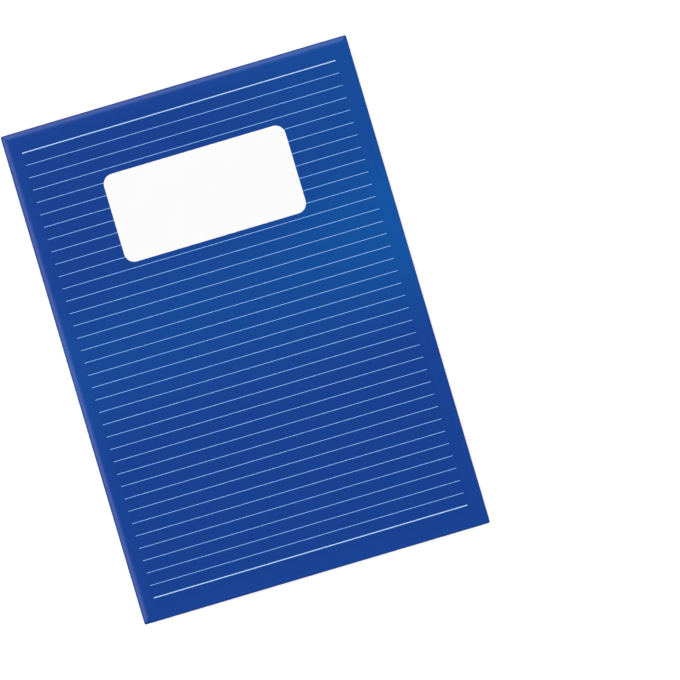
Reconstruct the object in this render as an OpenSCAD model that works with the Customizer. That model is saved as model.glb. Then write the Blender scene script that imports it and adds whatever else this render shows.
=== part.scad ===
// Case-bound composition notebook, closed and lying on its back cover.
// X runs from the spine to the fore edge, Y from the tail to the head, Z from the table up.
// The origin is the middle of the back cover's outer face.
// Each cover turns about a line on the spine's outer face, level with the cover's inner face.

/* [Pages] */
// Width of a leaf
page_w = 210; // [190:1:230]
// Height of a leaf
page_h = 297; // [270:1:320]
// Thickness of one leaf
leaf_t = 0.1; // [0.08:0.005:0.12]
// Leaves in one folded section
section_leaves = 16; // [12:2:20]
// Folded sections sewn into the block
section_count = 6; // [4:1:8]
// How far the folded back of a section bulges
fold_depth = 0.4; // [0.3:0.05:0.5]

/* [Boards] */
// Thickness of the cover boards
board_t = 2.5; // [2.5:0.1:3]
// Thickness of the stiffener in the spine
spine_board_t = 1; // [0.8:0.1:1.4]
// Overhang of the boards at head and tail
head_square = 3; // [2:0.25:4]
// Overhang of the boards at the fore edge
fore_square = 2.5; // [1.5:0.1:3.5]
// Gap in the joint between the spine's corner and a board
joint_gap = 0.3; // [0.2:0.05:1]

/* [Cover sheet] */
// Thickness of the printed sheet that wraps the boards
sheet_t = 0.2; // [0.15:0.01:0.25]
// Radius of the case's outer edges
edge_r = 2.6; // [1.5:0.1:2.6]
// Radius of the case's corners seen from above
corner_r = 1; // [0.6:0.1:2]
// Width of sheet turned in over the inside of the boards
turn_in = 15; // [12:1:20]

/* [Endpapers] */
// Thickness of an endpaper
endpaper_t = 0.15; // [0.12:0.01:0.2]
// Air between a closed cover and the block
cover_gap = 0.1; // [0.05:0.01:0.2]
// Room between an endpaper's fold and the sheet on the spine
fold_gap = 0.1; // [0.05:0.01:0.3]

/* [Spine of the block] */
// Thickness of the gauze glued over the folded backs
mull_t = 0.35; // [0.3:0.01:0.5]
// Thickness of the kraft paper glued over the gauze
kraft_t = 0.15; // [0.1:0.01:0.25]
// Hollow between the kraft paper and the spine stiffener
hollow_t = 0.3; // [0.2:0.05:0.6]
// Radius of the bead on the head and tail bands
bead_r = 0.9; // [0.7:0.05:1]
// Length of band tape glued over the folded backs
band_tape_h = 15; // [10:1:20]
// Diameter of the sewing thread
thread_d = 0.24; // [0.16:0.02:0.28]
// Pairs of stitches along the spine
stitch_pairs = 6; // [4:1:8]
// Distance between the two stitches of a pair
stitch_w = 12; // [8:1:16]

/* [Print] */
// Thickness of the white print
ink_t = 0.05; // [0.03:0.01:0.08]
// Printed rules on the front cover
rule_count = 37; // [31:1:43]
// Width of the first and the last rule
heavy_rule_w = 0.6; // [0.4:0.05:1]
// Width of the rules between them
fine_rule_w = 0.3; // [0.2:0.05:0.5]
// From the head edge to the first rule
rule_head_margin = 13.1; // [11:0.1:16]
// From the tail edge to the last rule
rule_tail_margin = 14; // [11:0.1:16]
// From the spine edge to the start of the rules
rule_spine_margin = 9.9; // [8:0.1:14]
// From the fore edge to the end of the rules
rule_fore_margin = 10.2; // [8:0.1:14]
// Width of the name panel
label_w = 112.5; // [90:0.5:130]
// Height of the name panel
label_h = 54.2; // [40:0.1:70]
// Corner radius of the name panel
label_r = 6.2; // [3:0.1:10]
// From the head edge to the name panel
label_head_margin = 39.9; // [30:0.1:60]

/* [Hidden] */
$fn = 96;

blue = [0.11, 0.27, 0.58];
white = [0.98, 0.98, 0.98];
page_white = [0.95, 0.94, 0.9];
endpaper_white = [0.93, 0.92, 0.88];
greyboard = [0.62, 0.6, 0.56];
kraft_brown = [0.68, 0.53, 0.36];

block_t = section_count * section_leaves * leaf_t;
section_t = block_t / section_count;
fold_r = (pow(section_t / 2, 2) + pow(fold_depth, 2)) / (2 * fold_depth);

cover_t = sheet_t + board_t;
spine_t = sheet_t + spine_board_t;
case_w = spine_t + hollow_t + kraft_t + mull_t + page_w + fore_square;
case_h = page_h + 2 * head_square;
case_t = 2 * (cover_t + 2 * endpaper_t + cover_gap) + block_t;

x_spine = -case_w / 2;
x_fore = case_w / 2;
x_gutter = x_spine + sheet_t + fold_gap;
x_joint = x_spine + edge_r + joint_gap;
x_trim = x_fore - fore_square;
x_backs = x_trim - page_w;
x_leaves = x_backs + fold_depth;
x_mull = x_backs - mull_t;
y_ledge = case_h / 2 - turn_in;
z_flyleaf = cover_t + endpaper_t + cover_gap;
z_block = z_flyleaf + endpaper_t;

// Box given by its lowest and highest corners
module box(low, high) {
    translate(low) cube(high - low);
}

// Rounded rectangle about the origin
module round_rect(w, h, r) {
    square([w - 2 * r, h], center = true);
    square([w, h - 2 * r], center = true);
    for (x = [-1, 1], y = [-1, 1])
        translate([x * (w / 2 - r), y * (h / 2 - r)]) circle(r);
}

// Extrudes an outline drawn in X and Z along Y, centred
module along_y(length) {
    rotate([90, 0, 0]) linear_extrude(length, center = true) children();
}

// Mirrors a piece of the back cover to the front
module on_front() {
    translate([0, 0, case_t]) mirror([0, 0, 1]) children();
}

// The closed case as one solid with rounded edges, taken in by a depth all round
module case_form(depth) {
    w = case_w - 2 * depth;
    h = case_h - 2 * depth;
    t = case_t - 2 * depth;
    r = edge_r - depth;
    translate([0, 0, case_t / 2]) intersection() {
        along_y(h) round_rect(w, t, r);
        rotate([90, 0, 90]) linear_extrude(w, center = true) round_rect(h, t, r);
        linear_extrude(t, center = true) round_rect(w, h, corner_r - depth);
    }
}

// The room inside the sheet for a cover board, with a ledge pressed in for the turn-ins
module board_room() {
    intersection() {
        case_form(sheet_t);
        union() {
            box([x_joint, -case_h, 0], [x_fore, case_h, cover_t - sheet_t]);
            box([x_joint, -y_ledge, 0], [x_fore - turn_in, y_ledge, cover_t]);
        }
    }
}

// The hollow of the joint, between the spine's corner and a board
module joint_room() {
    intersection() {
        case_form(sheet_t);
        union() {
            box([x_spine, -case_h, 0], [x_joint, case_h, cover_t - sheet_t]);
            box([x_spine, -y_ledge, 0], [x_joint, y_ledge, cover_t]);
        }
    }
}

// Sheet over a cover board, round the spine's corner as far as the hinge line
module cover_sheet() {
    difference() {
        intersection() {
            case_form(0);
            box([x_spine, -case_h, 0], [x_fore, case_h, cover_t]);
        }
        board_room();
        joint_room();
    }
}

// The room for the spine stiffener, with a ledge at head and tail for the turn-ins
module spine_room() {
    intersection() {
        case_form(sheet_t);
        translate([0, 0, z_block]) union() {
            box([x_spine, -case_h, 0], [x_spine + spine_board_t, case_h, block_t]);
            box([x_spine, -y_ledge, 0], [x_spine + spine_t, y_ledge, block_t]);
        }
    }
}

// Endpaper leaf of the page's height, lying on a given level
module endpaper(z) {
    color(endpaper_white)
        box([x_gutter, -page_h / 2, z], [x_trim, page_h / 2, z + endpaper_t]);
}

// Outline of the block: trimmed leaves and the folded backs of the sections
module block_outline() {
    translate([x_leaves, z_block]) square([x_trim - x_leaves, block_t]);
    for (i = [0 : section_count - 1])
        translate([0, z_block + i * section_t]) intersection() {
            translate([x_backs, 0]) square([fold_depth, section_t]);
            translate([x_backs + fold_r, section_t / 2]) circle(fold_r);
        }
}

module page_block() {
    color(page_white) along_y(page_h) block_outline();
}

// Threads that tie one section to the next, lying on the folded backs
module sewing_thread() {
    span = page_h - 2 * band_tape_h - stitch_w;
    pitch = span / stitch_pairs;
    color(white)
        for (i = [0 : stitch_pairs - 1], side = [-1, 1])
            translate([
                x_backs - thread_d / 2,
                (i - (stitch_pairs - 1) / 2) * pitch + side * stitch_w / 2,
                z_block + section_t / 2,
            ]) cylinder(d = thread_d, h = block_t - section_t);
}

// A strip pressed onto the folded backs from one height to another
module strip_on_backs(y_low, y_high) {
    difference() {
        box([x_mull, y_low, z_block], [x_leaves, y_high, z_block + block_t]);
        along_y(2 * case_h) block_outline();
    }
}

module spine_mull() {
    y_end = page_h / 2 - band_tape_h;
    color(white) difference() {
        strip_on_backs(-y_end, y_end);
        sewing_thread();
    }
}

module kraft_lining() {
    color(kraft_brown)
        box([x_mull - kraft_t, -page_h / 2, z_block], [x_mull, page_h / 2, z_block + block_t]);
}

// Tape on the folded backs with a bead that stands on the end of the block
module head_band() {
    y_end = page_h / 2;
    color(white) {
        strip_on_backs(y_end - band_tape_h, y_end);
        box([x_mull, y_end, z_block], [x_mull + bead_r, y_end + bead_r, z_block + block_t]);
        translate([x_mull + bead_r, y_end + bead_r, z_block]) cylinder(r = bead_r, h = block_t);
    }
}

module tail_band() {
    mirror([0, 1, 0]) head_band();
}

module back_flyleaf() {
    endpaper(z_flyleaf);
}

module front_flyleaf() {
    on_front() back_flyleaf();
}

module spine_board() {
    color(greyboard) spine_room();
}

// Sheet on the spine between the two hinge lines, turned in at head and tail
module spine_sheet() {
    color(blue) difference() {
        intersection() {
            case_form(0);
            box([x_spine, -case_h, cover_t], [x_spine + spine_t, case_h, case_t - cover_t]);
        }
        spine_room();
        intersection() {
            case_form(sheet_t);
            union() {
                box([x_spine, -case_h, 0], [x_fore, case_h, z_block]);
                box([x_spine, -case_h, z_block + block_t], [x_fore, case_h, case_t]);
            }
        }
    }
}

module back_board() {
    color(greyboard) board_room();
}

module back_cover_sheet() {
    color(blue) cover_sheet();
}

module back_pastedown() {
    endpaper(cover_t);
}

module front_board() {
    on_front() back_board();
}

module front_cover_sheet() {
    on_front() back_cover_sheet();
}

module front_pastedown() {
    on_front() back_pastedown();
}

module label_outline() {
    translate([0, case_h / 2 - label_head_margin - label_h / 2])
        round_rect(label_w, label_h, label_r);
}

// White rules across the front cover, broken by the name panel
module cover_rules() {
    pitch = (case_h - rule_head_margin - rule_tail_margin) / (rule_count - 1);
    x_start = x_spine + rule_spine_margin;
    x_end = x_fore - rule_fore_margin;
    color(white) translate([0, 0, case_t]) linear_extrude(ink_t) difference() {
        for (i = [0 : rule_count - 1]) {
            w = i == 0 || i == rule_count - 1 ? heavy_rule_w : fine_rule_w;
            translate([x_start, case_h / 2 - rule_head_margin - i * pitch - w / 2])
                square([x_end - x_start, w]);
        }
        label_outline();
    }
}

module name_panel() {
    color(white) translate([0, 0, case_t]) linear_extrude(ink_t) label_outline();
}

page_block();
sewing_thread();
spine_mull();
kraft_lining();
head_band();
tail_band();
front_flyleaf();
back_flyleaf();
spine_board();
spine_sheet();
front_board();
front_cover_sheet();
front_pastedown();
cover_rules();
name_panel();
back_board();
back_cover_sheet();
back_pastedown();
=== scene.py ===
"""Case-bound composition notebook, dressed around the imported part.

Every length is in metres, in the part's own frame: X from the spine to the fore edge, Y from the
tail to the head, Z up through the front cover. An inset is a distance in from the case's outline,
seen from above, and a depth is a distance under a cover's outer face.
"""

import math
import random
from contextlib import contextmanager
from typing import NamedTuple

import bmesh
import bpy
from bpy.props import FloatProperty, FloatVectorProperty, IntProperty, PointerProperty
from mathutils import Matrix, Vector


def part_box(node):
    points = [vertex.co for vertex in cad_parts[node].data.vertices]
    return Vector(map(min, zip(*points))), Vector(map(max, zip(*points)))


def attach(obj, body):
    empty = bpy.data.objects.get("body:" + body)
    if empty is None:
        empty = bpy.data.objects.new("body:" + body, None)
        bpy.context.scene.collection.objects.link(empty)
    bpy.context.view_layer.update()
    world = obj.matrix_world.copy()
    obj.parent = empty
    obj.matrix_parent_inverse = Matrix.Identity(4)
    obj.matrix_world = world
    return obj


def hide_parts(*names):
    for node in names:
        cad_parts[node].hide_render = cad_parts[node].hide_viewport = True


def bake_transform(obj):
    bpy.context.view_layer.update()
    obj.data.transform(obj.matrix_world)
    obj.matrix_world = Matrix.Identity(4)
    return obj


bl_info = {
    "name": "Composition notebook",
    "version": (1, 0, 0),
    "blender": (4, 5, 0),
    "location": "3D View > Sidebar > Notebook",
    "description": "Makes a case-bound notebook with wrapped boards and a sewn block",
    "category": "Object",
}

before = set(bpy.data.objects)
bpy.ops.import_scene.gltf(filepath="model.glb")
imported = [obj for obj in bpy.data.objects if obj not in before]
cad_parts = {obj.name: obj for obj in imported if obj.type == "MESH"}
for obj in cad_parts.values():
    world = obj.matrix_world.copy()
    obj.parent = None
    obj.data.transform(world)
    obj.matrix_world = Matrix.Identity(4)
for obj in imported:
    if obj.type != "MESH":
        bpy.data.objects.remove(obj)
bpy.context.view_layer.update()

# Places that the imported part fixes
CASE_LOW, CASE_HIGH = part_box("back_cover_sheet")[0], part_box("front_cover_sheet")[1]
CASE_W = CASE_HIGH.x - CASE_LOW.x
CASE_H = CASE_HIGH.y - CASE_LOW.y
CASE_T = CASE_HIGH.z
SPINE_X = CASE_LOW.x
COVER_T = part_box("back_cover_sheet")[1].z
JOINT_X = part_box("front_board")[0].x
SPINE_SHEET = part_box("spine_sheet")
SHEET_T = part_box("spine_board")[0].x - SPINE_X
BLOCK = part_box("page_block")
SIDES = {
    "front": {"body": "front_cover", "up": 1},
    "back": {"body": "back_cover", "up": -1},
}

# Height over the middle of the case between a flyleaf and its pastedown
PASTED_Z = (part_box("front_flyleaf")[1].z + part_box("front_pastedown")[0].z) / 2 - CASE_T / 2

# Only the first and the last printed rule lie beyond this place on Y, at head and tail
RULE_COUNT = 37
RULES_LOW, RULES_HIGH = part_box("cover_rules")
RULE_STEP = (RULES_HIGH.y - RULES_LOW.y) / (RULE_COUNT - 1)
OUTER_RULES_Y = min(RULES_HIGH.y, -RULES_LOW.y) - RULE_STEP / 2

# How finely rounds are cut
RIM_CUTS = 20
BOARD_RIM_CUTS = 12
CORNER_CUTS = 8
BOARD_CORNER_CUTS = 5
FOLD_CUTS = 6
INNER_EDGE_CUTS = 4
GUTTER_CUTS = 24
BEAD_CUTS = 20
FLOOR_CUTS = 96

# How close two places count as one, from strict to loose
TINY = 1e-7
TOUCHING = 1e-6
SLACK = 2e-5
WIDE_SLACK = 5e-5


# Settings


def length(name, description, default):
    """A length that a user may change."""
    return FloatProperty(
        name=name, description=description, default=default, min=0, precision=5,
        subtype="DISTANCE", unit="LENGTH",
    )


def position(name, description, default):
    """A place along an axis, on either side of the middle."""
    return FloatProperty(
        name=name, description=description, default=default, precision=5, unit="LENGTH"
    )


def count(name, description, default, least):
    """A number of like parts."""
    return IntProperty(name=name, description=description, default=default, min=least)


def colour(name, description, default):
    """A surface colour, as linear red, green and blue."""
    return FloatVectorProperty(
        name=name, description=description, default=default, size=3, min=0, max=1,
        subtype="COLOR",
    )


def power(name, description, default):
    """The power of a light."""
    return FloatProperty(
        name=name, description=description, default=default, min=0, subtype="POWER"
    )


def brightness(name, description, default):
    """The brightness of a surface or of the surroundings, where 1 is white."""
    return FloatProperty(name=name, description=description, default=default, min=0)


class NotebookSizes(bpy.types.PropertyGroup):
    """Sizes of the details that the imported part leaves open."""

    rim_width: length("Rim width", "Width of a cover's rounded rim, seen from above", 0.0048)
    rim_height: length("Rim height", "Height of a cover's rounded rim", 0.0026)
    corner_radius: length("Corner radius", "Radius of a cover's corners, seen from above", 0.00095)
    fold_radius: length("Fold radius", "Radius of the sheet's fold under a board", 0.00035)
    turn_in: length("Turn-in", "Width of sheet turned in over the inside of a board", 0.015)
    mitre_depth: length("Mitre depth", "Depth of the fold line where turn-ins meet", 0.00013)
    hinge_reach: length("Hinge reach", "How far the sheet flexes beside a hinge line", 0.00025)
    leaf_count: count("Leaves", "Leaves in the block", 96, 12)
    section_count: count("Sections", "Folded sections in the block", 6, 1)
    section_bulge: length("Section bulge", "How far a section's folded back bulges", 0.0004)
    leaf_groove: length("Leaf groove", "Depth of the groove between two leaves", 0.00006)
    leaf_unevenness: length("Unevenness", "How far trimmed leaves stand back at most", 0.00009)
    bead_ridges: count("Bead ridges", "Turns of thread round a band's bead", 22, 6)
    bead_ridge_depth: length("Ridge depth", "Depth of the groove between two turns", 0.00009)


class NotebookFinish(bpy.types.PropertyGroup):
    """Colours of the finishes."""

    cover: colour("Cover", "Blue of the printed sheet", (0.0080, 0.0478, 0.2545))
    # the lighter blue of a painted broad sheen across the cover
    cover_painted_sheen: colour("Painted sheen", "Blue of the painted broad sheen", (0.0054, 0.0750, 0.3070))
    worn: colour("Wear", "What rubbing adds to the cover's colour", (0.035, 0.045, 0.07))
    print_white: colour("Panel white", "White of the name panel", (0.88, 0.88, 0.88))
    print_rule: colour("Rule white", "Bluish white of the thin rules", (0.29, 0.53, 0.98))
    print_heavy: colour("Heavy rule white", "White of the first and last rule", (0.43, 0.64, 0.98))
    page: colour("Pages", "Uncoated paper of the leaves", (0.88, 0.865, 0.81))
    endpaper: colour("Endpapers", "Paper of the endpapers", (0.80, 0.785, 0.735))
    greyboard: colour("Greyboard", "Raw board", (0.34, 0.32, 0.28))
    kraft: colour("Kraft", "Lining on the folded backs", (0.42, 0.25, 0.11))
    gauze: colour("Gauze", "Glued gauze on the folded backs", (0.78, 0.74, 0.63))
    band: colour("Band", "Thread of the head and tail bands", (0.84, 0.83, 0.80))
    thread: colour("Thread", "Linen sewing thread", (0.82, 0.80, 0.72))


class NotebookStudio(bpy.types.PropertyGroup):
    """Camera and lights."""

    view_width: length("View width", "Width of the cover's plane in the picture", 0.40455)
    camera_height: length("Camera height", "Camera's height above the cover", 3.0)
    aim_x: position("Aim X", "Middle of the picture, towards the fore edge", 0.05235)
    aim_y: position("Aim Y", "Middle of the picture, towards the head", -0.02182)
    turn: FloatProperty(
        name="Turn", description="Turn of the picture about the vertical",
        default=math.radians(-16.51), subtype="ANGLE",
    )
    key_power: power("Key power", "Power of each large soft light", 70.0)
    fill_power: power("Fill power", "Power of each fill light", 63.0)
    floor: brightness("Floor", "How pale the floor is", 0.9)
    floor_glow: brightness("Floor glow", "Glow of the floor near the notebook, for the camera", 0.4)
    sky: brightness("Sky", "Brightness of the surroundings near the horizon", 0.5)
    zenith: brightness("Zenith", "Brightness of the surroundings overhead", 0.03)


# Modelling by hand


def add_shape(name, primitive, **options):
    """Adds a primitive with nothing else selected, at its place, and returns it."""
    bpy.ops.object.select_all(action="DESELECT")
    primitive(**options)
    piece = bpy.context.active_object
    piece.name = piece.data.name = name
    bpy.ops.object.transform_apply(location=True, rotation=True, scale=True)
    return piece


@contextmanager
def editing(piece):
    """Opens one piece in edit mode."""
    bpy.ops.object.select_all(action="DESELECT")
    piece.select_set(True)
    bpy.context.view_layer.objects.active = piece
    bpy.ops.object.mode_set(mode="EDIT")
    yield
    bpy.ops.object.mode_set(mode="OBJECT")


def near(a, b, slack=TOUCHING):
    """Whether two numbers are the same but for a little slack."""
    return abs(a - b) < slack


def on_border(edge):
    """Whether an edge has a face on one side only."""
    return edge.is_boundary


def runs_up(edge):
    """Whether an edge runs straight up and down."""
    a, b = (corner.co for corner in edge.verts)
    return near(a.x, b.x) and near(a.y, b.y)


def pick(piece, kind, test, only=None):
    """Selects the vertices, edges or faces of which every corner passes a test of its place, or
    only those among them that pass a second test."""
    bpy.ops.mesh.select_mode(type=kind)
    bpy.ops.mesh.select_all(action="DESELECT")
    mesh = bmesh.from_edit_mesh(piece.data)
    for part in {"VERT": mesh.verts, "EDGE": mesh.edges, "FACE": mesh.faces}[kind]:
        corners = [part] if kind == "VERT" else part.verts
        if all(test(corner.co) for corner in corners) and (only is None or only(part)):
            part.select_set(True)
    mesh.select_flush_mode()
    bmesh.update_edit_mesh(piece.data)


def draw_out(move, scale=None, centre=(0, 0, 0)):
    """Extrudes what is selected, then moves it and resizes it about a point."""
    bpy.ops.mesh.extrude_region_move(TRANSFORM_OT_translate={"value": move})
    if scale:
        bpy.ops.transform.resize(value=scale, center_override=centre)


def thicken(piece, thickness, offset=-1):
    """Gives a surface the thickness of its sheet, inwards or on both sides of it."""
    bpy.context.view_layer.objects.active = piece
    wall = piece.modifiers.new("Sheet", "SOLIDIFY")
    wall.thickness = thickness
    wall.offset = offset
    wall.use_even_offset = True
    wall.use_quality_normals = True
    bpy.ops.object.modifier_apply(modifier=wall.name)


def turn_out(piece):
    """Merges doubles and points the faces outwards."""
    with editing(piece):
        bpy.ops.mesh.select_mode(type="VERT")
        bpy.ops.mesh.select_all(action="SELECT")
        bpy.ops.mesh.remove_doubles(threshold=TINY)
        bpy.ops.mesh.normals_make_consistent(inside=False)


def face_outwards(piece, spot, direction):
    """Turns an open surface over if the face nearest a spot points the wrong way."""
    face = min(piece.data.polygons, key=lambda f: (f.center - spot).length)
    if face.normal.dot(direction) < 0:
        with editing(piece):
            bpy.ops.mesh.select_all(action="SELECT")
            bpy.ops.mesh.flip_normals()


def smooth(piece, degrees):
    """Shades a piece smooth, except across edges sharper than an angle."""
    bpy.ops.object.select_all(action="DESELECT")
    piece.select_set(True)
    bpy.context.view_layer.objects.active = piece
    bpy.ops.object.shade_smooth_by_angle(angle=math.radians(degrees))


def give_finish(piece, finish):
    """Gives a piece one material."""
    piece.data.materials.clear()
    piece.data.materials.append(finish)


# Covers

# A narrow flat ring inside the rim keeps the shading of the large face flat
FLAT_RING = 0.0006

# A cover's sheet runs this far past the hinge line to meet the spine's own, in rows this high
SPINE_JOIN = 0.0006
FLEX_ROW = 0.00005

# How far past the fold under a board the mitre of two turn-ins starts
MITRE_START = 0.0004

# A board's lower edge: its play in the sheet, its easing, and the gap beside what lies on it
BOARD_PLAY = 0.00002
BOARD_EASE_IN = 0.00022
BOARD_EASE_UP = 0.0002
BOARD_GAP = 0.00005

# The spine's turned-in sheet: the round of its inner edge, how far it runs on towards the covers'
# turn-ins, and how much more it does so over a short length at head and tail
SPINE_INNER_ROUND = 0.00022
SPINE_RUN_ON = 0.00015
SPINE_END_RUN_ON = 0.0004
SPINE_END_LENGTH = 0.0027


def level(side, depth):
    """Height of a point that lies a depth under a cover's outer face."""
    return CASE_T - depth if side == "front" else depth


def rim_point(sizes, angle, within=0.0):
    """Inset and depth on a cover's rim, from its side at 0 to its top at a quarter turn, or on a
    curve that lies a little within the rim."""
    return (
        within + (sizes.rim_width - within) * (1 - math.cos(angle)),
        within + (sizes.rim_height - within) * (1 - math.sin(angle)),
    )


def rim_inset(sizes, depth):
    """Inset of the rim at a depth under the cover's outer face."""
    rise = max(0.0, 1 - depth / sizes.rim_height)
    return sizes.rim_width * (1 - math.sqrt(1 - rise * rise))


def corner_middle(sizes, inset):
    """X in the middle of a rounded corner at the spine, on an outline at an inset."""
    return SPINE_X + inset + sizes.corner_radius * (1 - math.sqrt(0.5))


def case_scale(before, after):
    """Scale that brings an outline at one inset to another, about the middle of the case."""
    return (
        (CASE_W - 2 * after) / (CASE_W - 2 * before),
        (CASE_H - 2 * after) / (CASE_H - 2 * before),
        1,
    )


def open_scale(before, after):
    """The same for an outline that is open at the spine, about the middle of the spine."""
    return (
        (CASE_W - after) / (CASE_W - before),
        (CASE_H - 2 * after) / (CASE_H - 2 * before),
        1,
    )


def case_outline(name, side, inset, depth, corner_radius, cuts):
    """A flat outline of the case with rounded corners, at an inset and a depth."""
    piece = add_shape(
        name, bpy.ops.mesh.primitive_plane_add, size=1, location=(0, 0, level(side, depth))
    )
    with editing(piece):
        bpy.ops.mesh.select_all(action="SELECT")
        bpy.ops.transform.resize(
            value=(CASE_W - 2 * inset, CASE_H - 2 * inset, 1), center_override=(0, 0, 0)
        )
        bpy.ops.mesh.bevel(
            offset=corner_radius, offset_type="OFFSET", segments=cuts, affect="VERTICES"
        )
        bpy.ops.mesh.select_mode(type="FACE")
        bpy.ops.mesh.select_all(action="SELECT")
    return piece


def draw_along(side, path, scale, centre=(0, 0, 0)):
    """Draws what is selected on through a list of insets and depths."""
    up = SIDES[side]["up"]
    for (inset, depth), (inset_next, depth_next) in zip(path, path[1:]):
        draw_out((0, 0, up * (depth - depth_next)), scale(inset, inset_next), centre)


def rim_path(sizes, fold_depth):
    """Insets and depths of the sheet over a rim, from the fold at its foot to the flat face."""
    start = math.asin(1 - fold_depth / sizes.rim_height)
    angles = [start + (math.pi / 2 - start) * i / RIM_CUTS for i in range(RIM_CUTS + 1)]
    path = [rim_point(sizes, angle) for angle in angles]
    return path + [(sizes.rim_width + FLAT_RING, 0)]


def flex_path(sizes, fold_inset, fold_depth):
    """Insets and depths of the sheet down the spine, from the fold to the spine's own sheet."""
    rows = round((sizes.hinge_reach + SPINE_JOIN) / FLEX_ROW)
    depths = [COVER_T - sizes.hinge_reach + FLEX_ROW * i for i in range(rows + 1)]
    return [(fold_inset, fold_depth)] + [(rim_inset(sizes, depth), depth) for depth in depths]


def turn_in_path(sizes, fold_inset, fold_depth):
    """Insets and depths of the sheet round a board's lower edge and over the board's inside."""
    path = []
    for i in range(FOLD_CUTS + 1):
        angle = math.pi / 2 * i / FOLD_CUTS
        path.append((
            fold_inset + sizes.fold_radius * (1 - math.cos(angle)),
            fold_depth + sizes.fold_radius * math.sin(angle),
        ))
    return path + [(path[-1][0] + MITRE_START, COVER_T), (sizes.turn_in, COVER_T)]


def press_mitres(piece, side, sizes, start):
    """Presses in the line on which two turn-ins meet, from an inset inwards at each corner."""
    most_x = CASE_W / 2 - start + SLACK

    def on_diagonal(co):
        return near(CASE_W / 2 - co.x, CASE_H / 2 - abs(co.y), WIDE_SLACK)

    pick(
        piece, "VERT",
        lambda co: co.x < most_x and near(co.z, level(side, COVER_T)) and on_diagonal(co),
    )
    bpy.ops.transform.translate(value=(0, 0, SIDES[side]["up"] * sizes.mitre_depth))


def make_cover_wrap(side, sizes):
    """The printed sheet over one cover: rounded rims, turn-ins on three sides, and the flexing
    strip that joins it to the spine."""
    up = SIDES[side]["up"]
    fold_depth = COVER_T - sizes.fold_radius
    fold_inset = rim_inset(sizes, fold_depth)
    fold_z = level(side, fold_depth)
    split_x = corner_middle(sizes, fold_inset)
    rim = rim_path(sizes, fold_depth)
    turn_in = turn_in_path(sizes, fold_inset, fold_depth)
    piece = case_outline(f"{side}_cover_wrap", side, *rim[0], sizes.corner_radius, CORNER_CUTS)
    with editing(piece):
        draw_along(side, rim, case_scale)
        # the first face stays at the bottom, so it is taken out
        pick(piece, "FACE", lambda co: near(co.z, fold_z))
        bpy.ops.mesh.delete(type="ONLY_FACE")
        # down the spine, past the hinge line
        pick(piece, "EDGE", lambda co: near(co.z, fold_z) and co.x < split_x + SLACK, on_border)
        draw_along(side, flex_path(sizes, fold_inset, fold_depth), case_scale)
        # under the board on the other three sides
        pick(piece, "EDGE", lambda co: near(co.z, fold_z) and co.x > split_x - SLACK, on_border)
        draw_along(side, turn_in, open_scale, (SPINE_X, 0, 0))
        mitre_start = turn_in[-2][0]
        press_mitres(piece, side, sizes, mitre_start)
    turn_out(piece)
    face_outwards(piece, Vector((0, 0, level(side, 0))), Vector((0, 0, up)))
    thicken(piece, SHEET_T)
    smooth(piece, degrees=40)
    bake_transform(piece)
    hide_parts(f"{side}_cover_sheet")
    return piece


def board_path(sizes):
    """Insets and depths of a board's outside, from its eased lower edge to its flat face."""
    ledge = COVER_T - SHEET_T
    foot = SHEET_T + BOARD_PLAY
    path = [(foot + BOARD_EASE_IN, ledge), (foot, ledge - BOARD_EASE_UP)]
    for i in range(BOARD_RIM_CUTS + 1):
        inset, depth = rim_point(sizes, math.pi / 2 * i / BOARD_RIM_CUTS, SHEET_T)
        if depth < ledge - BOARD_EASE_UP - BOARD_GAP:
            path.append((inset, depth))
    return path


def make_board(side, sizes):
    """A greyboard cover with eased edges, and a ledge pressed in for the turn-ins."""
    path = board_path(sizes)
    foot_inset, ledge = path[0]
    ledge_end = sizes.turn_in + BOARD_GAP
    piece = case_outline(
        f"{side}_greyboard", side, foot_inset, ledge, sizes.corner_radius - SHEET_T,
        BOARD_CORNER_CUTS,
    )
    with editing(piece):
        draw_along(side, path, case_scale)
        pick(piece, "FACE", lambda co: near(co.z, level(side, ledge)))
        # the turn-ins lie on the ledge, and inside it the board stands up to their level
        scale = (
            (CASE_W - foot_inset - ledge_end) / (CASE_W - 2 * foot_inset),
            (CASE_H - 2 * ledge_end) / (CASE_H - 2 * foot_inset),
            1,
        )
        draw_out((0, 0, 0), scale, (SPINE_X + foot_inset, 0, 0))
        draw_out((0, 0, -SIDES[side]["up"] * SHEET_T))
        bpy.ops.mesh.select_all(action="SELECT")
        bpy.ops.mesh.bisect(
            plane_co=(JOINT_X, 0, 0), plane_no=(-1, 0, 0), use_fill=True, clear_outer=True
        )
    turn_out(piece)
    smooth(piece, degrees=35)
    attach(piece, SIDES[side]["body"])
    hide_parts(f"{side}_board")
    return piece


def round_spine_ends(piece, x, radius, cuts):
    """Rounds the upright edges of the spine's sheet at head and tail, on one of its faces."""
    pick(piece, "EDGE", lambda co: near(abs(co.y), CASE_H / 2) and near(co.x, x), runs_up)
    bpy.ops.mesh.bevel(offset=radius, offset_type="OFFSET", segments=cuts, affect="EDGES")


def run_on_turn_ins(piece, z, way, sizes):
    """Draws the spine's turned-in sheet on towards one cover, further at head and tail."""
    inner_x = corner_middle(sizes, 0) - SLACK
    end_y = CASE_H / 2 - SPINE_END_LENGTH - WIDE_SLACK
    z_next = z + way * SPINE_RUN_ON
    pick(piece, "EDGE", lambda co: near(co.z, z) and co.x > inner_x, on_border)
    draw_out((0, 0, way * SPINE_RUN_ON))
    pick(
        piece, "EDGE",
        lambda co: near(co.z, z_next) and co.x > inner_x and abs(co.y) > end_y, on_border,
    )
    draw_out((0, 0, way * SPINE_END_RUN_ON))


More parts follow.
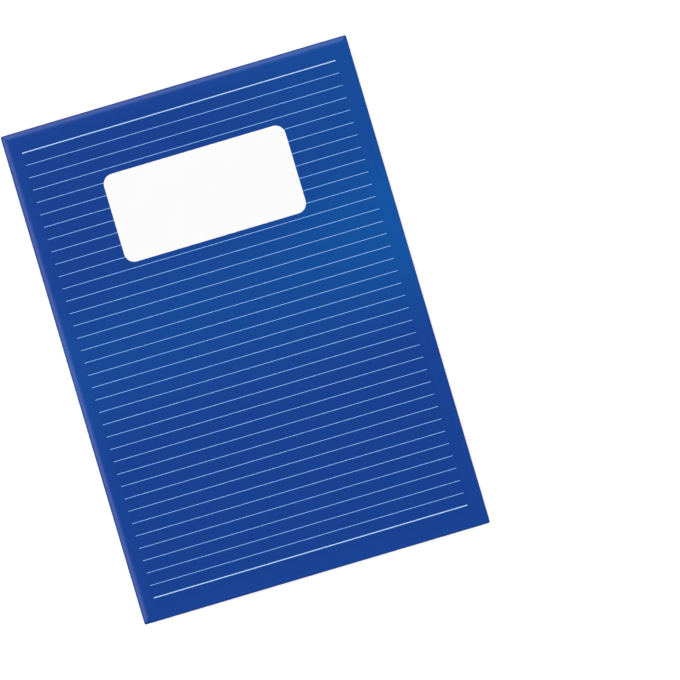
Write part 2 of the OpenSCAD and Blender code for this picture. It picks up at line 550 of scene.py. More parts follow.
def make_spine_wrap(sizes):
    """The sheet on the spine between the two covers, turned in over the stiffener's ends."""
    low, high = SPINE_SHEET
    wall = high.x - low.x
    z_low, z_high = low.z + SPINE_JOIN, high.z - SPINE_JOIN
    middle_z = (z_low + z_high) / 2
    piece = add_shape(
        "spine_wrap",
        bpy.ops.mesh.primitive_plane_add,
        size=1,
        location=(SPINE_X, 0, middle_z),
        rotation=(0, -math.pi / 2, 0),
    )
    with editing(piece):
        bpy.ops.mesh.select_all(action="SELECT")
        bpy.ops.transform.resize(
            value=(1, CASE_H, z_high - z_low), center_override=(0, 0, middle_z)
        )
        for sign in (1, -1):
            pick(piece, "EDGE", lambda co: near(co.y, sign * CASE_H / 2) and near(co.x, SPINE_X))
            draw_out((wall, 0, 0))
            draw_out((0, -sign * SPINE_END_LENGTH, 0))
            draw_out((0, -sign * (sizes.turn_in - SPINE_END_LENGTH), 0))
        round_spine_ends(piece, SPINE_X, sizes.corner_radius, CORNER_CUTS)
        round_spine_ends(piece, SPINE_X + wall, SPINE_INNER_ROUND, INNER_EDGE_CUTS)
        run_on_turn_ins(piece, z_high, 1, sizes)
        run_on_turn_ins(piece, z_low, -1, sizes)
    turn_out(piece)
    face_outwards(piece, Vector((SPINE_X, 0, CASE_T / 2)), Vector((-1, 0, 0)))
    thicken(piece, SHEET_T)
    smooth(piece, degrees=40)
    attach(piece, "block")
    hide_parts("spine_sheet")
    return piece


# Paper

# The block's first outline stands this far in, so that its lower edge is eased
FIRST_LEAF_INSET = 0.0001

# Between these shares of its thickness a leaf's edge is flat, and it falls to the groove above
EDGE_START, EDGE_END = 0.2, 0.8

# Depths of the shallowest groove between leaves and of the one between sections, as shares of the
# leaf groove in the settings
LEAST_GROOVE = 0.5
SECTION_GROOVE = 1.5
LEAF_SEED = 11


def make_endpaper(side):
    """One folded sheet: the flyleaf on the block, the fold at the gutter, and the pastedown."""
    up = SIDES[side]["up"]
    leaf_low, leaf_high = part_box(f"{side}_flyleaf")
    paste_low, paste_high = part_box(f"{side}_pastedown")
    thickness = leaf_high.z - leaf_low.z
    leaf_z = (leaf_low.z + leaf_high.z) / 2
    paste_z = (paste_low.z + paste_high.z) / 2
    radius = abs(paste_z - leaf_z) / 2
    bend_x = leaf_low.x + radius + thickness / 2
    middle = ((bend_x + leaf_high.x) / 2, 0, leaf_z)
    piece = add_shape(
        f"{side}_endpaper", bpy.ops.mesh.primitive_plane_add, size=1, location=middle
    )
    with editing(piece):
        bpy.ops.mesh.select_all(action="SELECT")
        bpy.ops.transform.resize(
            value=(leaf_high.x - bend_x, leaf_high.y - leaf_low.y, 1), center_override=middle
        )
        pick(piece, "EDGE", lambda co: near(co.x, bend_x))
        for i in range(GUTTER_CUTS):
            a, b = math.pi * i / GUTTER_CUTS, math.pi * (i + 1) / GUTTER_CUTS
            draw_out((
                -radius * (math.sin(b) - math.sin(a)), 0, up * radius * (math.cos(a) - math.cos(b))
            ))
        draw_out((leaf_high.x - bend_x, 0, 0))
        bpy.ops.mesh.select_all(action="SELECT")
        bpy.ops.mesh.normals_make_consistent(inside=False)
    thicken(piece, thickness, offset=0)
    smooth(piece, degrees=40)
    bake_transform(piece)
    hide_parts(f"{side}_flyleaf", f"{side}_pastedown")
    return piece


class Ring(NamedTuple):
    """The block's outline at one height."""

    z: float
    back: float
    fore: float
    tail: float
    head: float


def back_of_section(sizes, z):
    """X of the rounded backs of the folded sections at a height in the block."""
    low, high = BLOCK
    bulge = sizes.section_bulge
    section_t = (high.z - low.z) / sizes.section_count
    radius = ((section_t / 2) ** 2 + bulge ** 2) / (2 * bulge)
    across = (z - low.z) % section_t - section_t / 2
    return low.x + radius - math.sqrt(max(0.0, radius ** 2 - across ** 2))


def leaf_rings(sizes):
    """Outlines of the leaves, three to a leaf: the last is in the groove under the next leaf."""
    low, high = BLOCK
    leaf_t = (high.z - low.z) / sizes.leaf_count
    leaves_each = sizes.leaf_count // sizes.section_count
    eased = FIRST_LEAF_INSET
    rings = [
        Ring(low.z, back_of_section(sizes, low.z), high.x - eased, low.y + eased, high.y - eased)
    ]
    random.seed(LEAF_SEED)
    for i in range(sizes.leaf_count):
        fore, head, tail = (random.uniform(0, sizes.leaf_unevenness) for _ in range(3))
        last = (i + 1) % leaves_each == 0
        groove = sizes.leaf_groove * (SECTION_GROOVE if last else random.uniform(LEAST_GROOVE, 1))
        for share, inset in ((EDGE_START, 0), (EDGE_END, 0), (1.0, groove)):
            z = low.z + i * leaf_t + share * leaf_t
            rings.append(Ring(
                z,
                back_of_section(sizes, z - TINY),
                high.x - fore - inset,
                low.y + tail + inset,
                high.y - head - inset,
            ))
    return rings


def fit_ring(before, after):
    """Resizes and moves the selected outline from one ring's X and Y to another's."""
    scale_x = (after.fore - after.back) / (before.fore - before.back)
    scale_y = (after.head - after.tail) / (before.head - before.tail)
    bpy.ops.transform.resize(value=(scale_x, scale_y, 1), center_override=(0, 0, 0))
    bpy.ops.transform.translate(
        value=(after.back - before.back * scale_x, after.tail - before.tail * scale_y, 0)
    )


def make_leaf_block(sizes):
    """The trimmed leaves, each with its own edge, in folded sections with rounded backs."""
    rings = leaf_rings(sizes)
    unit_plane = Ring(rings[0].z, -0.5, 0.5, -0.5, 0.5)
    piece = add_shape(
        "leaf_block", bpy.ops.mesh.primitive_plane_add, size=1, location=(0, 0, rings[0].z)
    )
    with editing(piece):
        bpy.ops.mesh.select_all(action="SELECT")
        fit_ring(unit_plane, rings[0])
        for before, after in zip(rings, rings[1:]):
            draw_out((0, 0, after.z - before.z))
            fit_ring(before, after)
    turn_out(piece)
    smooth(piece, degrees=25)
    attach(piece, "block")
    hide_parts("page_block")
    return piece


# Bands

# A turn of thread is this much fuller than a straight line from its groove to its crest
THREAD_FULLNESS = 0.015

# The tape's rounding, and its tongue into the bead as shares of the bead's radius, of the tape's
# thickness and of its height
TAPE_ROUND = 0.0001
TONGUE_REACH = 0.9
TONGUE_THICKNESS = 0.6
TONGUE_HEIGHT = 0.96


def make_bead(name, sign, sizes):
    """A band's bead at the end of the block: turns of thread from its foot to its top."""
    low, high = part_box(name)
    radius = (high.x - low.x) / 2
    ridge = (high.z - low.z) / sizes.bead_ridges
    waist = 1 - sizes.bead_ridge_depth / radius
    end_y = high.y if sign > 0 else low.y
    centre = (low.x + radius, end_y - sign * radius, low.z)
    piece = add_shape(
        f"{name}_bead",
        bpy.ops.mesh.primitive_circle_add,
        vertices=BEAD_CUTS,
        radius=radius * waist,
        fill_type="NGON",
        location=centre,
    )
    shoulder = (1 + waist) / 2 + THREAD_FULLNESS
    # place and size through one turn of thread, from groove to groove
    turn = [(0.25, shoulder), (0.5, 1.0), (0.75, shoulder), (1.0, waist)]
    with editing(piece):
        bpy.ops.mesh.select_all(action="SELECT")
        before_z, before_size = 0.0, waist
        for i in range(sizes.bead_ridges):
            for share, size in turn:
                z = (i + share) * ridge
                scale = size / before_size
                draw_out((0, 0, z - before_z), (scale, scale, 1), centre)
                before_z, before_size = z, size
    turn_out(piece)
    return piece


def make_tape(name, sign):
    """A band's tape on the folded backs, with a tongue that holds the bead."""
    low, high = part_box(name)
    backs_x = BLOCK[0].x
    bead_r = (high.x - low.x) / 2
    inner_y, end_y = (low.y, high.y) if sign > 0 else (high.y, low.y)
    outer_y = end_y - sign * 2 * bead_r
    middle_x, middle_z = (low.x + backs_x) / 2, (low.z + high.z) / 2
    middle = (middle_x, (inner_y + outer_y) / 2, middle_z)
    piece = add_shape(f"{name}_tape", bpy.ops.mesh.primitive_cube_add, size=1, location=middle)
    with editing(piece):
        bpy.ops.mesh.select_all(action="SELECT")
        bpy.ops.transform.resize(
            value=(backs_x - low.x, abs(outer_y - inner_y), high.z - low.z),
            center_override=middle,
        )
        bpy.ops.mesh.bevel(offset=TAPE_ROUND, segments=2, affect="EDGES")
        pick(piece, "FACE", lambda co: near(co.y, outer_y))
        draw_out(
            (0, sign * bead_r * TONGUE_REACH, 0),
            (TONGUE_THICKNESS, 1, TONGUE_HEIGHT),
            (middle_x, outer_y, middle_z),
        )
    return piece


def make_band(name, sign, sizes):
    """The band at one end of the block: a bead wound with thread, and its tape on the backs."""
    piece = make_bead(name, sign, sizes)
    tape = make_tape(name, sign)
    bpy.ops.object.select_all(action="DESELECT")
    tape.select_set(True)
    piece.select_set(True)
    bpy.context.view_layer.objects.active = piece
    bpy.ops.object.join()
    smooth(piece, degrees=60)
    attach(piece, "block")
    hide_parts(name)
    return piece


# Shader nodes

# Sockets of the node that mixes two colours
MIX_SHARE, MIX_A, MIX_B, MIX_RESULT = 0, 6, 7, 2

# Widens a noise value's narrow swing around its middle
NOISE_GAIN = 4.0


def node(tree, kind, inputs=None, **settings):
    """Adds a node, with its settings and with values or links on its inputs."""
    made = tree.nodes.new(kind)
    for key, value in settings.items():
        setattr(made, key, value)
    for key, value in (inputs or {}).items():
        if isinstance(value, bpy.types.NodeSocket):
            tree.links.new(value, made.inputs[key])
        else:
            made.inputs[key].default_value = value
    return made


def maths(tree, operation, *values):
    """A math node's result."""
    return node(tree, "ShaderNodeMath", dict(enumerate(values)), operation=operation).outputs[0]


def weighted(tree, *pairs):
    """A sum of values, each times its weight."""
    total = 0.0
    for value, weight in pairs:
        total = maths(tree, "MULTIPLY_ADD", value, weight, total)
    return total


def spread(tree, value, low, high, to_low, to_high, easing="LINEAR"):
    """Maps a value's range to another one."""
    return node(tree, "ShaderNodeMapRange", {
        "Value": value, "From Min": low, "From Max": high, "To Min": to_low, "To Max": to_high,
    }, interpolation_type=easing).outputs["Result"]


def smooth_step(tree, value, low, high, to_low, to_high):
    """Maps a value's range to another one, easing in and out."""
    return spread(tree, value, low, high, to_low, to_high, easing="SMOOTHSTEP")


def places(tree, stretch=(1, 1, 1)):
    """Object coordinates, stretched along the axes."""
    coordinates = node(tree, "ShaderNodeTexCoord").outputs["Object"]
    mapped = node(tree, "ShaderNodeMapping", {"Vector": coordinates, "Scale": stretch})
    return mapped.outputs["Vector"]


def axes(tree):
    """X, Y and Z of the object coordinates."""
    return node(tree, "ShaderNodeSeparateXYZ", {0: places(tree)}).outputs


def noise(tree, vector, scale, detail, roughness):
    """A noise value from 0 to 1 over a vector, in features a metre."""
    return node(tree, "ShaderNodeTexNoise", {
        "Vector": vector, "Scale": scale, "Detail": detail, "Roughness": roughness,
    }).outputs["Fac"]


def centred(tree, value):
    """A value from 0 to 1, moved to lie around 0."""
    return maths(tree, "SUBTRACT", value, 0.5)


def scaled(tree, vector, factor):
    """A colour or a place times a factor."""
    return node(
        tree, "ShaderNodeVectorMath", {0: vector, "Scale": factor}, operation="SCALE"
    ).outputs[0]


def between(tree, colour_a, colour_b, share):
    """A mix of two colours, each a colour or a link."""
    a, b = (
        end if isinstance(end, bpy.types.NodeSocket) else (*end, 1) for end in (colour_a, colour_b)
    )
    mix = node(
        tree, "ShaderNodeMix", {MIX_SHARE: share, MIX_A: a, MIX_B: b}, data_type="RGBA"
    )
    return mix.outputs[MIX_RESULT]


def insets(tree, across, along):
    """Distances to the case's fore edge and ends, from places across and along the cover."""
    return (
        maths(tree, "SUBTRACT", CASE_W / 2, across),
        maths(tree, "SUBTRACT", CASE_H / 2, maths(tree, "ABSOLUTE", along)),
    )


def from_middle(tree, height):
    """Distance up or down from the middle of the case's thickness."""
    return maths(tree, "ABSOLUTE", maths(tree, "SUBTRACT", height, CASE_T / 2))


# Effects that several materials share


def effect(name, inputs, outputs):
    """A shader node group with named number inputs and outputs, ready to be filled."""
    group = bpy.data.node_groups.new(name, "ShaderNodeTree")
    for label, default in inputs.items():
        socket = group.interface.new_socket(
            name=label, in_out="INPUT", socket_type="NodeSocketFloat"
        )
        socket.default_value = default
    for label in outputs:
        group.interface.new_socket(name=label, in_out="OUTPUT", socket_type="NodeSocketFloat")
    return group, group.nodes.new("NodeGroupInput").outputs, group.nodes.new("NodeGroupOutput")


def put_out(group, out, **values):
    """Links values to a group's outputs."""
    for label, value in values.items():
        group.links.new(value, out.inputs[label.capitalize()])


def use(tree, group, **inputs):
    """Places a node group in a material, with its own values."""
    placed = node(tree, "ShaderNodeGroup", node_tree=group)
    for label, value in inputs.items():
        placed.inputs[label.capitalize()].default_value = value
    return placed.outputs


def fibre_effect():
    """Paper fibre: a tone around 1 and a height."""
    group, given, out = effect(
        "Paper fibre", {"Coarseness": 1.0, "Mottling": 0.04}, ["Tone", "Height"]
    )
    vector = scaled(group, places(group), given["Coarseness"])
    fine = noise(group, vector, scale=2600, detail=3, roughness=0.6)
    cloud = noise(group, vector, scale=160, detail=2, roughness=0.5)
    mixed = centred(group, weighted(group, (fine, 0.55), (cloud, 0.45)))
    swing = maths(group, "MULTIPLY", mixed, given["Mottling"])
    tone = maths(group, "MULTIPLY_ADD", swing, NOISE_GAIN, 1.0)
    put_out(group, out, tone=tone, height=fine)
    return group


def film_effect():
    """Satin film over print: a roughness with faint handling haze but never under a least value,
    and a height."""
    group, given, out = effect(
        "Satin film", {"Roughness": 0.32, "Haze": 0.02, "Least": 0.285}, ["Roughness", "Height"]
    )
    vector = places(group)
    cloud = centred(group, noise(group, vector, scale=28, detail=3, roughness=0.55))
    fine = centred(group, noise(group, vector, scale=1400, detail=2, roughness=0.5))
    haze = weighted(group, (cloud, 1.0), (fine, 0.5))
    change = maths(group, "MULTIPLY", haze, given["Haze"])
    rough = maths(group, "MULTIPLY_ADD", change, NOISE_GAIN, given["Roughness"])
    ripple = weighted(
        group,
        (noise(group, vector, scale=700, detail=2, roughness=0.5), 0.7),
        (noise(group, vector, scale=90, detail=1, roughness=0.4), 0.6),
    )
    rough = maths(group, "MAXIMUM", rough, given["Least"])
    put_out(group, out, roughness=rough, height=ripple)
    return group


def rub_effect():
    """Where hands and shelves rub the case: along its outer edges, broken up."""
    group, given, out = effect("Edge rub", {"Reach": 0.0026, "Breaks": 0.58}, ["Mask"])
    softness = 0.2
    x, y, z = axes(group)
    to_side, to_end = insets(group, maths(group, "ABSOLUTE", x), y)
    to_face = maths(group, "SUBTRACT", CASE_T / 2, from_middle(group, z))
    # an edge is where two of the three distances to the outside are small
    total = maths(group, "ADD", maths(group, "ADD", to_side, to_end), to_face)
    largest = maths(group, "MAXIMUM", maths(group, "MAXIMUM", to_side, to_end), to_face)
    nearest = maths(group, "SUBTRACT", total, largest)
    edge = smooth_step(group, nearest, 0.0, given["Reach"], to_low=1.0, to_high=0.0)
    grain = noise(group, places(group), scale=420, detail=4, roughness=0.65)
    most = maths(group, "ADD", given["Breaks"], softness)
    broken = spread(group, grain, given["Breaks"], most, to_low=0.0, to_high=1.0)
    put_out(group, out, mask=maths(group, "MULTIPLY", edge, broken))
    return group


def weave_effect():
    """Plain weave across Y and Z: a tone around 1 and a height."""
    group, given, out = effect(
        "Plain weave", {"Threads": 1600.0, "Contrast": 0.2}, ["Tone", "Height"]
    )
    _, y, z = axes(group)
    waves = []
    for along in (y, z):
        turns = maths(group, "MULTIPLY", along, given["Threads"])
        waves.append(maths(group, "SINE", maths(group, "MULTIPLY", turns, math.tau)))
    height = maths(group, "MULTIPLY_ADD", maths(group, "MULTIPLY", *waves), 0.5, 0.5)
    swing = maths(group, "MULTIPLY", centred(group, height), given["Contrast"])
    put_out(group, out, tone=maths(group, "ADD", swing, 1.0), height=height)
    return group


# Materials

# The film's gloss, its roughness over the sheet and over the white print, and its ripple's depth
FILM_SPECULAR = 0.35
SHEET_ROUGHNESS = 0.32
PRINT_ROUGHNESS = 0.31
FILM_RIPPLE = 0.00002


def surface(name, specular, roughness, sheen=0.0):
    """A material with its shader, ready for its nodes."""
    made = bpy.data.materials.new(name)
    made.use_nodes = True
    shader = made.node_tree.nodes["Principled BSDF"]
    shader.inputs["Specular IOR Level"].default_value = specular
    shader.inputs["Roughness"].default_value = roughness
    shader.inputs["Sheen Weight"].default_value = sheen
    return made, made.node_tree, shader


def tint(tree, shader, base, tone):
    """Gives a surface a colour, made lighter or darker by a tone around 1."""
    tree.links.new(scaled(tree, base, tone), shader.inputs["Base Color"])


def dent(tree, shader, height, distance, strength):
    """Gives a surface bumps from a height."""
    bump = node(tree, "ShaderNodeBump", {
        "Height": height, "Distance": distance, "Strength": strength,
    })
    tree.links.new(bump.outputs["Normal"], shader.inputs["Normal"])


def lay_film(tree, shader, film, roughness, strength):
    """Lays the film over a surface: its roughness and its faint ripple."""
    skin = use(tree, film, roughness=roughness)
    tree.links.new(skin["Roughness"], shader.inputs["Roughness"])
    dent(tree, shader, skin["Height"], FILM_RIPPLE, strength)


def painted_sheen_band(tree, x, y):
    """Where a painted broad sheen lightens the blue, from 0 to about 1: in a broad band that
    rises a little from the spine to the fore edge, and along the fore edge above it."""
    wave_height = 0.04
    band_slope, band_y = 0.155, 0.023
    band_core, band_end = 0.008, 0.075
    upper_haste = 1.25
    side_x, at_spine, at_fore = 0.1, 0.38, 0.6
    beside_start, beside_full, beside_foot = -0.01, 0.11, -0.08
    cloud = noise(tree, places(tree), scale=9, detail=2, roughness=0.5)
    wave = maths(tree, "MULTIPLY", centred(tree, cloud), wave_height)
    middle = maths(tree, "MULTIPLY_ADD", x, band_slope, band_y)
    up_from_band = maths(tree, "ADD", maths(tree, "SUBTRACT", y, middle), wave)
    # the band fades faster on its upper side
    away = maths(
        tree, "MAXIMUM",
        maths(tree, "MULTIPLY", up_from_band, upper_haste),
        maths(tree, "MULTIPLY", up_from_band, -1.0),
    )
    band = maths(
        tree, "MULTIPLY",
        smooth_step(tree, away, band_core, band_end, to_low=1, to_high=0),
        spread(tree, x, -side_x, side_x, at_spine, at_fore),
    )
    across = maths(tree, "ADD", x, wave)
    beside = maths(
        tree, "MULTIPLY",
        smooth_step(tree, across, beside_start, beside_full, to_low=0, to_high=0.5),
        smooth_step(tree, up_from_band, beside_foot, 0.0, to_low=0, to_high=1),
    )
    return maths(tree, "ADD", band, beside)


def painted_rim_highlight(tree, x, y):
    """A tone around 1: a painted highlight, lighter towards the cover's rounded edges and most on
    the bend.
    """
    bend_start, bend_full = 0.001, 0.0018
    bend_fade, bend_end = 0.0019, 0.0042
    rim_fade, rim_end = 0.006, 0.014
    inward = maths(tree, "MINIMUM", *insets(tree, maths(tree, "ABSOLUTE", x), y))
    # painted highlight on the bend of the rim, and a fainter one further in
    bend = maths(
        tree, "MULTIPLY",
        smooth_step(tree, inward, bend_start, bend_full, to_low=0, to_high=1),
        smooth_step(tree, inward, bend_fade, bend_end, to_low=0.13, to_high=0),
    )
    rim = smooth_step(tree, inward, rim_fade, rim_end, to_low=1.06, to_high=1)
    return maths(tree, "ADD", rim, bend)


def cover_finish(finish, film, rub):
    """The blue printed sheet under its film, with a painted broad sheen and painted highlights on
    its rims, rubbed a little along the edges.
    """
    made, tree, shader = surface("Blue cover sheet", FILM_SPECULAR, SHEET_ROUGHNESS)
    x, y, _ = axes(tree)
    # a painted broad sheen lightens the blue in a band across the cover and along the fore edge
    blue = between(tree, finish.cover, finish.cover_painted_sheen, painted_sheen_band(tree, x, y))
    speckle = noise(tree, places(tree), scale=900, detail=3, roughness=0.6)
    ink = spread(tree, speckle, 0.3, 0.7, to_low=0.97, to_high=1.03)
    # the tone carries the painted highlight along the rims
    tone = maths(tree, "MULTIPLY", ink, painted_rim_highlight(tree, x, y))
    worn = between(tree, (0, 0, 0), finish.worn, use(tree, rub)["Mask"])
    base = node(
        tree, "ShaderNodeVectorMath", {0: scaled(tree, blue, tone), 1: worn}, operation="ADD"
    )
    tree.links.new(base.outputs[0], shader.inputs["Base Color"])
    lay_film(tree, shader, film, SHEET_ROUGHNESS, strength=0.5)
    return made


def print_finish(name, fibre, film, white, outer_white=None):
    """White print under the film. The first and the last rule may carry more white."""
    made, tree, shader = surface(name, FILM_SPECULAR, PRINT_ROUGHNESS)
    ink = tuple(white)
    if outer_white is not None:
        outer = maths(tree, "GREATER_THAN", maths(tree, "ABSOLUTE", axes(tree)[1]), OUTER_RULES_Y)
        ink = between(tree, white, outer_white, outer)
    tint(tree, shader, ink, use(tree, fibre, coarseness=0.5, mottling=0.012)["Tone"])
    lay_film(tree, shader, film, PRINT_ROUGHNESS, strength=0.4)
    return made


def page_finish(finish, fibre):
    """Uncoated paper, with single leaves and small bundles of them lighter or darker."""
    made, tree, shader = surface("Page paper", specular=0.25, roughness=0.85)
    leaf_features, bundle_features = (6, 6, 5200), (2, 2, 900)
    single = noise(tree, places(tree, leaf_features), scale=1, detail=3, roughness=0.7)
    bundle = noise(tree, places(tree, bundle_features), scale=1, detail=2, roughness=0.6)
    edges = maths(
        tree, "ADD",
        spread(tree, single, 0.25, 0.75, to_low=-0.11, to_high=0.05),
        spread(tree, bundle, 0.3, 0.7, to_low=-0.05, to_high=0.04),
    )
    grain = use(tree, fibre, mottling=0.03)
    tone = maths(tree, "MULTIPLY", maths(tree, "ADD", edges, 1.0), grain["Tone"])
    tint(tree, shader, tuple(finish.page), tone)
    dent(tree, shader, grain["Height"], distance=0.00003, strength=0.6)
    return made


def endpaper_finish(finish, fibre, turn_in):
    """Endpaper. The turned-in sheet and the board's ledge show faintly through the pastedown."""
    made, tree, shader = surface("Endpaper", specular=0.25, roughness=0.88)
    step_reach = 0.0004
    fibre_share = 0.16
    grain = use(tree, fibre, mottling=0.035)
    tint(tree, shader, tuple(finish.endpaper), grain["Tone"])
    x, y, z = axes(tree)
    inward = maths(tree, "MINIMUM", *insets(tree, x, y))
    step = smooth_step(
        tree, inward, turn_in - step_reach, turn_in + step_reach, to_low=1, to_high=0
    )
    on_board = maths(tree, "GREATER_THAN", from_middle(tree, z), PASTED_Z)
    relief = maths(tree, "MULTIPLY", step, on_board)
    height = maths(tree, "MULTIPLY_ADD", grain["Height"], fibre_share, relief)
    dent(tree, shader, height, distance=0.00018, strength=0.9)
    return made


def raw_paper(name, base, fibre, mottling, coarseness, depth):
    """Raw board or wrapping paper."""
    made, tree, shader = surface(name, specular=0.25, roughness=0.88)
    grain = use(tree, fibre, mottling=mottling, coarseness=coarseness)
    tint(tree, shader, tuple(base), grain["Tone"])
    dent(tree, shader, grain["Height"], depth, strength=0.7)
    return made


def cloth(name, base, weave, threads, contrast):
    """Woven thread, in threads a metre."""
    made, tree, shader = surface(name, specular=0.2, roughness=0.9, sheen=0.2)
    cross = use(tree, weave, threads=threads, contrast=contrast)
    tint(tree, shader, tuple(base), cross["Tone"])
    dent(tree, shader, cross["Height"], distance=0.00004, strength=0.7)
    return made


def make_finishes(finish, turn_in):
    """All materials of the notebook, by slot or piece."""
    fibre, film, rub, weave = fibre_effect(), film_effect(), rub_effect(), weave_effect()
    return {
        "cover_paper": cover_finish(finish, film, rub),
        "name_panel": print_finish("White panel print", fibre, film, finish.print_white),
        "cover_rules": print_finish(
            "White rule print", fibre, film, finish.print_rule, finish.print_heavy
        ),
        "page_paper": page_finish(finish, fibre),
        "endpaper": endpaper_finish(finish, fibre, turn_in),
        "kraft_paper": raw_paper(
            "Kraft lining", finish.kraft, fibre, mottling=0.16, coarseness=0.8, depth=0.00004
        ),
        "greyboard": raw_paper(
            "Greyboard", finish.greyboard, fibre, mottling=0.22, coarseness=0.6, depth=0.00006
        ),
        "mull": cloth("Gauze", finish.gauze, weave, threads=900.0, contrast=0.35),
        "band_tape": cloth("Band thread", finish.band, weave, threads=2400.0, contrast=0.16),
        "linen_thread": cloth("Sewing thread", finish.thread, weave, threads=2600.0, contrast=0.2),
    }


# Stage

FLOOR_RADIUS = 10.0
FLOOR_DROP = 0.00005

# Between these distances from the notebook the floor's glow rises to white for the camera
GLOW_START, GLOW_END = 0.3, 1.6

# Directions in degrees. Azimuth 0 is on the fore edge's side and 90 on the head's
KEY_AZIMUTHS = {"head": 93, "spine": 177}
KEY_LIGHT = {"zenith": 57, "distance": 3.6, "width": 2.9, "height": 3.3}
FILL_AZIMUTHS = {"fore": 10, "tail": -100}
FILL_LIGHT = {"zenith": 44, "distance": 3.6, "width": 3.6, "height": 2.6}

# Heights on a unit sphere at which the horizon's brightness ends and the zenith's begins
HORIZON_END, ZENITH_START = 0.2, 0.45

# The sensor's width is in millimetres
SENSOR_WIDTH = 36
CLIP_START, CLIP_END = 0.05, 30


def make_floor(studio):
    """A pale floor. Seen by the camera it stays white to its rim, and takes a soft shadow near the
    notebook."""
    floor = add_shape(
        "floor", bpy.ops.mesh.primitive_circle_add,
        vertices=FLOOR_CUTS, radius=FLOOR_RADIUS, fill_type="NGON", location=(0, 0, -FLOOR_DROP),
    )
    pale, tree, shader = surface("Pale floor", specular=0.0, roughness=0.9)
    shader.inputs["Base Color"].default_value = (studio.floor, studio.floor, studio.floor, 1)
    out = node(tree, "ShaderNodeVectorMath", {0: places(tree)}, operation="LENGTH")
    glow = smooth_step(
        tree, out.outputs["Value"], GLOW_START, GLOW_END, studio.floor_glow, 1.0
    )
    seen = node(tree, "ShaderNodeLightPath").outputs["Is Camera Ray"]
    tree.links.new(between(tree, (0, 0, 0), glow, seen), shader.inputs["Emission Color"])
    shader.inputs["Emission Strength"].default_value = 1.0
    give_finish(floor, pale)
    floor.visible_glossy = False


def make_lamp(scene, name, azimuth, zenith, distance, width, height, watts, in_gloss):
    """A large soft light that points at the notebook. One that isn't in the gloss lights only the
    colour of a surface, and leaves no highlight on it."""
    a, z = math.radians(azimuth), math.radians(zenith)
    away = Vector((math.cos(a) * math.sin(z), math.sin(a) * math.sin(z), math.cos(z)))
    data = bpy.data.lights.new(name, "AREA")
    data.shape = "RECTANGLE"
    data.size, data.size_y, data.energy = width, height, watts
    data.cycles.use_multiple_importance_sampling = in_gloss
    light = bpy.data.objects.new(name, data)
    scene.collection.objects.link(light)
    light.location = away * distance
    light.rotation_euler = away.to_track_quat("Z", "Y").to_euler()
    light.visible_camera = False
    light.visible_glossy = in_gloss


def make_surroundings(scene, studio):
    """Soft light from all round, left out of the gloss. The camera sees plain white."""
    world = scene.world or bpy.data.worlds.new("Studio")
    scene.world = world
    world.use_nodes = True
    world.cycles_visibility.glossy = False
    tree = world.node_tree
    directions = node(tree, "ShaderNodeTexCoord").outputs["Generated"]
    height = node(tree, "ShaderNodeSeparateXYZ", {0: directions}).outputs["Z"]
    ramp = node(tree, "ShaderNodeValToRGB", {"Fac": height})
    low, high = ramp.color_ramp.elements
    low.position, low.color = HORIZON_END, (studio.sky, studio.sky, studio.sky, 1)
    high.position, high.color = ZENITH_START, (studio.zenith, studio.zenith, studio.zenith, 1)
    seen = node(tree, "ShaderNodeLightPath").outputs["Is Camera Ray"]
    light = between(tree, ramp.outputs["Color"], (1, 1, 1), seen)
    tree.links.new(light, tree.nodes["Background"].inputs["Color"])


def make_camera(scene, studio):
    """A camera straight above, so far up that the picture has hardly any perspective."""
    data = bpy.data.cameras.new("camera")
    camera = bpy.data.objects.new("camera", data)
    scene.collection.objects.link(camera)
    data.sensor_width = SENSOR_WIDTH
    data.lens = SENSOR_WIDTH * studio.camera_height / studio.view_width
    data.clip_start, data.clip_end = CLIP_START, CLIP_END
    camera.location = (studio.aim_x, studio.aim_y, CASE_T + studio.camera_height)
    camera.rotation_euler = (0, 0, studio.turn)
    scene.camera = camera


def make_stage(scene, studio):
    """The floor, the lights, the surroundings and the camera."""
    make_floor(studio)
    for name, azimuth in KEY_AZIMUTHS.items():
        make_lamp(
            scene, f"key_{name}", azimuth, **KEY_LIGHT, watts=studio.key_power, in_gloss=True
        )
    for name, azimuth in FILL_AZIMUTHS.items():
        make_lamp(
            scene, f"fill_{name}", azimuth, **FILL_LIGHT, watts=studio.fill_power, in_gloss=False
        )
    make_surroundings(scene, studio)
    make_camera(scene, studio)
    scene.view_settings.view_transform = "Standard"


# Operators

# The materials that the first operator makes, for the others to use
FINISHES = {}


class NOTEBOOK_OT_finishes(bpy.types.Operator):
    """Make the materials of every paper, board, film and thread"""

    bl_idname = "notebook.finishes"
    bl_label = "Finishes"

    def execute(self, context):
        scene = context.scene
        FINISHES.update(make_finishes(scene.notebook_finish, scene.notebook_sizes.turn_in))
        return {"FINISHED"}


class NOTEBOOK_OT_covers(bpy.types.Operator):
    """Wrap both boards and the spine in the printed sheet"""

    bl_idname = "notebook.covers"
    bl_label = "Wrapped case"

    def execute(self, context):
        sizes = context.scene.notebook_sizes
        for side in SIDES:
            give_finish(make_cover_wrap(side, sizes), FINISHES["cover_paper"])
            give_finish(make_board(side, sizes), FINISHES["greyboard"])
        give_finish(make_spine_wrap(sizes), FINISHES["cover_paper"])
        return {"FINISHED"}


class NOTEBOOK_OT_endpapers(bpy.types.Operator):
    """Fold an endpaper between each cover and the block"""

    bl_idname = "notebook.endpapers"
    bl_label = "Endpapers"

    def execute(self, context):
        for side in SIDES:
            give_finish(make_endpaper(side), FINISHES["endpaper"])
        return {"FINISHED"}


class NOTEBOOK_OT_leaf_block(bpy.types.Operator):
    """Stack the trimmed leaves in their folded sections"""

    bl_idname = "notebook.leaf_block"
    bl_label = "Leaf block"

    def execute(self, context):
        give_finish(make_leaf_block(context.scene.notebook_sizes), FINISHES["page_paper"])
        return {"FINISHED"}


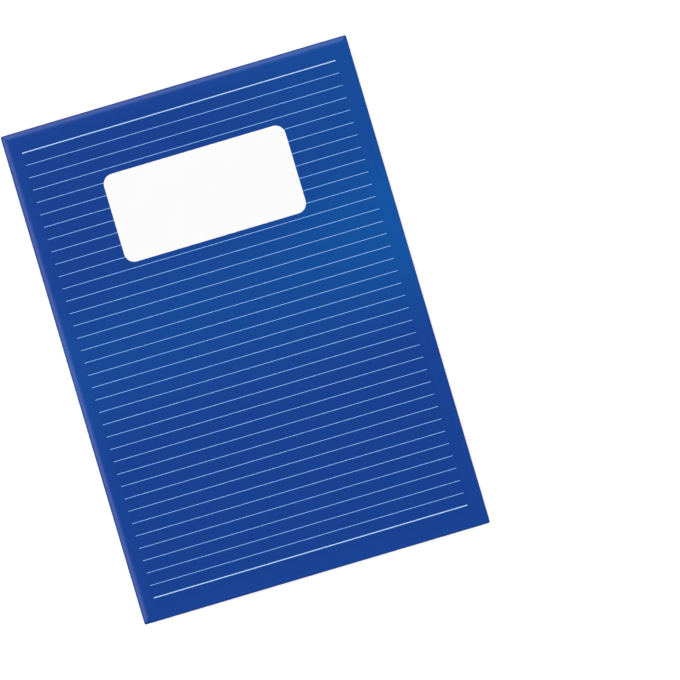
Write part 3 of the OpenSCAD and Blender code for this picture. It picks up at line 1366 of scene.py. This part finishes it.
class NOTEBOOK_OT_bands(bpy.types.Operator):
    """Wind the head band and the tail band"""

    bl_idname = "notebook.bands"
    bl_label = "Head and tail bands"

    def execute(self, context):
        for name, sign in (("head_band", 1), ("tail_band", -1)):
            band = make_band(name, sign, context.scene.notebook_sizes)
            give_finish(band, FINISHES["band_tape"])
        return {"FINISHED"}


class NOTEBOOK_OT_kept_nodes(bpy.types.Operator):
    """Finish the print, the linings, the thread and the stiffener"""

    bl_idname = "notebook.kept_nodes"
    bl_label = "Print and linings"

    def execute(self, context):
        for name, finish in (
            ("cover_rules", "cover_rules"),
            ("name_panel", "name_panel"),
            ("spine_mull", "mull"),
            ("kraft_lining", "kraft_paper"),
            ("sewing_thread", "linen_thread"),
            ("spine_board", "greyboard"),
        ):
            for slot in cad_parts[name].material_slots:
                slot.material = FINISHES[finish]
        return {"FINISHED"}


class NOTEBOOK_OT_stage(bpy.types.Operator):
    """Set the pale floor, the soft lights and the camera"""

    bl_idname = "notebook.stage"
    bl_label = "Stage"

    def execute(self, context):
        make_stage(context.scene, context.scene.notebook_studio)
        return {"FINISHED"}


class NOTEBOOK_PT_panel(bpy.types.Panel):
    """Settings of the notebook, and the steps that make it"""

    bl_idname = "NOTEBOOK_PT_panel"
    bl_label = "Composition notebook"
    bl_space_type = "VIEW_3D"
    bl_region_type = "UI"
    bl_category = "Notebook"

    def draw(self, context):
        for name in GROUPS:
            group = getattr(context.scene, name)
            box = self.layout.box()
            for key in group.__annotations__:
                box.prop(group, key)
        for operator in OPERATORS:
            self.layout.operator(operator.bl_idname)


GROUPS = {
    "notebook_sizes": NotebookSizes,
    "notebook_finish": NotebookFinish,
    "notebook_studio": NotebookStudio,
}
OPERATORS = (
    NOTEBOOK_OT_finishes,
    NOTEBOOK_OT_covers,
    NOTEBOOK_OT_endpapers,
    NOTEBOOK_OT_leaf_block,
    NOTEBOOK_OT_bands,
    NOTEBOOK_OT_kept_nodes,
    NOTEBOOK_OT_stage,
)


def register():
    """Makes the settings, the operators and the panel known."""
    for made in (*GROUPS.values(), *OPERATORS, NOTEBOOK_PT_panel):
        bpy.utils.register_class(made)
    for name, group in GROUPS.items():
        setattr(bpy.types.Scene, name, PointerProperty(type=group))


def unregister():
    """Takes them out again."""
    for name in GROUPS:
        delattr(bpy.types.Scene, name)
    for made in (NOTEBOOK_PT_panel, *reversed(OPERATORS), *reversed(GROUPS.values())):
        bpy.utils.unregister_class(made)


def main():
    """Makes the whole notebook."""
    register()
    bpy.ops.notebook.finishes()
    bpy.ops.notebook.covers()
    bpy.ops.notebook.endpapers()
    bpy.ops.notebook.leaf_block()
    bpy.ops.notebook.bands()
    bpy.ops.notebook.kept_nodes()
    bpy.ops.notebook.stage()


if __name__ == "__main__":
    main()
